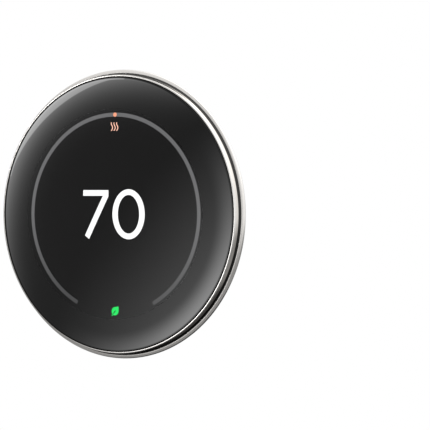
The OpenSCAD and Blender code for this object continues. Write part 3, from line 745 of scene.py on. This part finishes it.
def plate(bm, layer):
    """Gives a flat drawing its thickness and sets it on its layer in front of the screen."""
    bmesh.ops.recalc_face_normals(bm, faces=bm.faces)
    grown = bmesh.ops.extrude_face_region(bm, geom=bm.faces[:])["geom"]
    front = [part for part in grown if isinstance(part, bmesh.types.BMVert)]
    bmesh.ops.translate(bm, verts=front, vec=FORWARD * PLATE)
    bmesh.ops.translate(bm, verts=bm.verts, vec=FORWARD * (screen_front + layer))
    bmesh.ops.recalc_face_normals(bm, faces=bm.faces)


print(f"plates {PLATE} mm thick, {TRACK_LAYER} and {SYMBOL_LAYER} mm in front of the screen")

# %% [markdown]
# The track is a little over five sixths of a circle, open at the bottom, and the dot marks the setting at
# its top. Both sizes come from the screen: the track runs just inside its edge.

# %% Track and dot
track_r = screen_r - 2.95
TRACK_WIDTH = 1.28
TRACK_GAP = 27
DOT_R = 0.7


def screen_track():
    bm = bmesh.new()
    stroke(bm, arc((0, 0), (track_r, track_r), 270 - TRACK_GAP, TRACK_GAP - 90, 180), TRACK_WIDTH)
    plate(bm, TRACK_LAYER)
    return piece("screen_track", bm, "face", "screen_light", track_light)


def setting_dot():
    bm = bmesh.new()
    upright = Matrix.Translation((0, 0, track_r * MM)) @ Matrix.Rotation(math.pi / 2, 4, "X")
    bmesh.ops.create_circle(bm, cap_ends=True, radius=DOT_R * MM, segments=40, matrix=upright)
    plate(bm, SYMBOL_LAYER)
    return piece("setting_dot", bm, "face", "screen_light", coral_light)


screen_track()
setting_dot()

# %% [markdown]
# The heat symbol is three upright waves side by side. Each is one stroke along a sine curve.

# %% Heat symbol
def heat_symbol():
    middle, height, swing, pitch, pen = 28.5, 2.8, 0.3, 1.04, 0.25
    start, steps = 0.12, 24
    climb = [k / steps for k in range(steps + 1)]
    bm = bmesh.new()
    for place in (-pitch, 0, pitch):
        wave = [(place + swing * math.sin(math.tau * (t - start)), middle + height * (t - 0.5))
                for t in climb]
        stroke(bm, wave, pen)
    plate(bm, SYMBOL_LAYER)
    return piece("heat_symbol", bm, "face", "screen_light", heat_light)


heat_symbol()

# %% [markdown]
# The number is drawn in a plain light style. The seven is one flat outline with its foot cut square
# across the stroke, and the nought is two ellipses joined by a ring of faces.

# %% The number
DIGIT_TOP = 7.8
DIGIT_PEN = 1.85


def digit_seven():
    left, right = -11.8, -1.9
    foot_in, foot_out = (-11.1, -6.95), (-9.5, -8.1)
    bar, elbow = DIGIT_TOP - DIGIT_PEN, -4.05
    outline = [(left, DIGIT_TOP), (right, DIGIT_TOP), (right, bar - 0.2), foot_out, foot_in,
               (elbow, bar), (left, bar)]
    bm = bmesh.new()
    bm.faces.new([bm.verts.new((x * MM, 0, z * MM)) for x, z in outline])
    plate(bm, SYMBOL_LAYER)
    return piece("digit_seven", bm, "face", "screen_light", white_light)


def digit_nought():
    middle, outer, inner = (5.9, 0), (6.2, 8.1), (4.1, 6.25)
    bm = bmesh.new()
    for size in (outer, inner):
        place = Matrix.Translation((middle[0] * MM, 0, middle[1] * MM))
        shape = Matrix.Diagonal((size[0] * MM, 1, size[1] * MM, 1)) @ Matrix.Rotation(math.pi / 2, 4, "X")
        bmesh.ops.create_circle(bm, radius=1, segments=96, matrix=place @ shape)
    bmesh.ops.bridge_loops(bm, edges=bm.edges[:])
    plate(bm, SYMBOL_LAYER)
    return piece("digit_nought", bm, "face", "screen_light", white_light)


digit_seven()
digit_nought()

# %% [markdown]
# The leaf begins as an ellipse whose top is drawn out to a tip. A slim slot for its rib is bridged to the
# outline, the whole leaf leans over to the right, and a short stroke is its stalk.

# %% Leaf
def leaf_symbol():
    half_w, half_h, tip = 1.3, 1.5, 0.5
    bm = bmesh.new()
    upright = Matrix.Rotation(math.pi / 2, 4, "X")
    outline = bmesh.ops.create_circle(bm, radius=MM, segments=48,
                                      matrix=Matrix.Diagonal((half_w, 1, half_h, 1)) @ upright)["verts"]
    for vert in outline:
        share = max(0, vert.co.z / (half_h * MM))
        vert.co.z += tip * MM * share ** 8
        vert.co.x *= 1 - 0.35 * share ** 4
    slot = Matrix.Translation((0, 0, -0.45 * MM)) @ Matrix.Diagonal((0.17, 1, 0.8, 1)) @ upright
    bmesh.ops.create_circle(bm, radius=MM, segments=48, matrix=slot)
    bmesh.ops.bridge_loops(bm, edges=bm.edges[:])
    stroke(bm, [(0, -half_h - 0.16), (0, -half_h - 0.5)], 0.34)
    lean = Matrix.Translation((0.1 * MM, 0, -31.6 * MM)) @ Matrix.Rotation(math.radians(42), 4, "Y")
    bmesh.ops.transform(bm, matrix=lean, verts=bm.verts)
    plate(bm, SYMBOL_LAYER)
    return piece("leaf_symbol", bm, "face", "screen_light", green_light)


leaf_symbol()

# %% [markdown]
# Three coil springs push the face forwards again after a press. A coil is a small circle of wire spun
# round the guide pin while it rises. They stand on the display unit, and they flatten when the face comes
# in. The share of their length that a full press leaves is worked out, and the coils get a mesh of their
# own, but nothing squeezes them.

# %% Return springs
def return_coils():
    back, front = depth_of("return_springs")
    wire, turns, steps, circle = 0.25, 4, 28, 31
    coil = (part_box("return_springs")[1].z / MM - circle) - wire
    bm = bmesh.new()
    for angle in (30, 150, 270):
        ring = bmesh.ops.create_circle(bm, radius=wire * MM, segments=12, cap_ends=True,
                                       matrix=Matrix.Translation((coil * MM, 0, 0)))["verts"]
        face = ring[0].link_faces[0]
        rise = (front - back - 2 * wire) / (turns * steps)
        bmesh.ops.spin(bm, geom=[face, *face.edges, *ring], cent=(0, 0, 0), axis=(0, 1, 0),
                       angle=math.tau * turns, steps=turns * steps, dvec=FORWARD * rise)
        new = [vert for vert in bm.verts if not vert.tag]
        spot = Matrix.Rotation(math.radians(-angle), 4, "Y") @ Matrix.Translation((circle * MM, 0, 0))
        bmesh.ops.transform(bm, matrix=Matrix.Translation(FORWARD * (back + wire)) @ spot, verts=new)
        for vert in new:
            vert.tag = True
    bmesh.ops.recalc_face_normals(bm, faces=bm.faces)
    coils = piece("return_coils", bm, "display", "steel", SLOT_FINISH["steel"], replaces=["return_springs"])
    press = next(j for j in frame["joints"] if j["name"] == "face_press")
    keep = 1 - press["range_m"][1] / MM / (front - back)
    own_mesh(coils)


return_coils()

# %% [markdown]
# The studio is a world shader: a pale room, a brighter ceiling, and soft panels. The dome shows only a
# small part of it, in front of the glass and to its left. Places there are measured so that 0 is where
# the middle of the glass throws the camera's look and 1 is where its rim throws it, because then a panel
# can be set by the part of the dome that should show it.

# %% Directions in the studio
LOOK_LEFT, LOOK_UP = 33.65, 0.4
RIM_ACROSS, RIM_UP = 26.95, 23.1


class Studio(Net):
    """A world shader, and the directions that its light depends on, in degrees."""

    def __init__(self, world):
        super().__init__(world)
        way = self.add("TexCoord", output="Generated")
        x, y, z = [self.add("SeparateXYZ", None, {0: way}, output=k) for k in range(3)]
        self.behind = 1 - (-1 * y).step(-0.45, 0.0)
        self.round_about = self.maths("ARCTAN2", x, 0 - y) * math.degrees(1)
        self.height = self.maths("ARCSINE", z) * math.degrees(1)
        self.across = (self.round_about + LOOK_LEFT) / RIM_ACROSS
        self.up = (self.height + LOOK_UP) / RIM_UP
        self.out = (self.across * self.across + self.up * self.up + 0.0001) ** 0.5

    def facing(self, angle):
        """1 towards that angle round the glass, and -1 away from it."""
        way = math.radians(angle)
        return (self.across * math.cos(way) + self.up * math.sin(way)) / self.out


print("the rim of the glass shows what lies", RIM_ACROSS, "degrees to its sides")

# %% [markdown]
# A round soft light low on the right brightens the glass towards that edge. Another stands high on the
# left, and a slanted panel with a sharp edge beside it draws the bright sail there. Both fade out just
# past the rim, so that the polished lip beside it doesn't burn out.

# %% Lights that the glass shows
def right_light(studio):
    way = studio.facing(-44).positive()
    near = studio.maths("MINIMUM", studio.out, 1.04)
    broad = 1.65 * near ** 1.8 * way ** 1.5
    rim = 4.1 * studio.out.step(0.84, 1.0) * way ** 2.3
    return (broad + rim) * (1 - 0.75 * studio.out.step(1.0, 1.08)) * (1 - studio.out.step(1.15, 1.38))


def left_light(studio):
    near = studio.maths("MINIMUM", studio.out, 1.04)
    rim = 6.4 * near ** 9.7 * studio.facing(132).positive() ** 2.3
    way = studio.facing(130)
    sail = (studio.out + 0.2 * way * way).step(1.114, 1.124) * (way > 0.8)
    return (rim + 3.9 * sail) * (1 - studio.out.step(1.0, 1.06))


print("lights for the glass: right_light, left_light")

# %% [markdown]
# The rest of the room lights the ring, the base and the back. It is dark under the object, so that the
# ring has a dark line below, and brighter above and on the right. The plain white background is only what
# the camera sees.

# %% Room and world
FRONT_LIGHT = 0.32


def room_light(studio):
    height, round_about = studio.height, studio.round_about
    flag = studio.behind * (1 - height.step(-6, 20)) * height.step(-75, -55)
    right = round_about.step(-6, 14) * (1 - round_about.step(150, 175)) * height.step(-18, 0)
    ceiling = 0.55 * height.step(2, 40) + 0.9 * height.step(50, 80)
    return 0.06 + 0.22 * height.step(-50, -38) + ceiling + 0.65 * right - 0.06 * flag


def light_world():
    world = bpy.data.worlds.new("studio")
    scene.world = world
    studio = Studio(world)
    room = room_light(studio)
    near = 1 - studio.out.step(1.04, 1.22)
    light = room + near * (FRONT_LIGHT - room) + left_light(studio) + right_light(studio)
    seen = studio.add("LightPath", output="Is Camera Ray")
    shader = studio.add("Background", None, {"Color": (1, 1, 1, 1), "Strength": light * (1 - seen) + seen})
    studio.add("OutputWorld", None, {"Surface": shader})


light_world()
scene.view_settings.view_transform = "Standard"
print("world nodes:", len(scene.world.node_tree.nodes))

# %% [markdown]
# A pale round floor lies well below the object, which hangs in the air as if its wall had been cut out.
# It only shows in views from above.

# %% Floor
FLOOR_R = 1.8
FLOOR_DROP = 0.3


def floor_disc():
    bm = bmesh.new()
    low = Matrix.Translation((0, 0, -FLOOR_DROP))
    bmesh.ops.create_circle(bm, cap_ends=True, radius=FLOOR_R, segments=96, matrix=low)
    mesh = bpy.data.meshes.new("floor")
    bm.to_mesh(mesh)
    bm.free()
    look = Finish("pale_floor", Roughness=0.7)
    paint = look.noise(90.0).blend((0.84, 0.84, 0.84), (0.87, 0.87, 0.87))
    mesh.materials.append(look.done(Base_Color=paint))
    obj = bpy.data.objects.new("floor", mesh)
    scene.collection.objects.link(obj)
    obj.visible_glossy = False


floor_disc()
print("floor and light are in place")
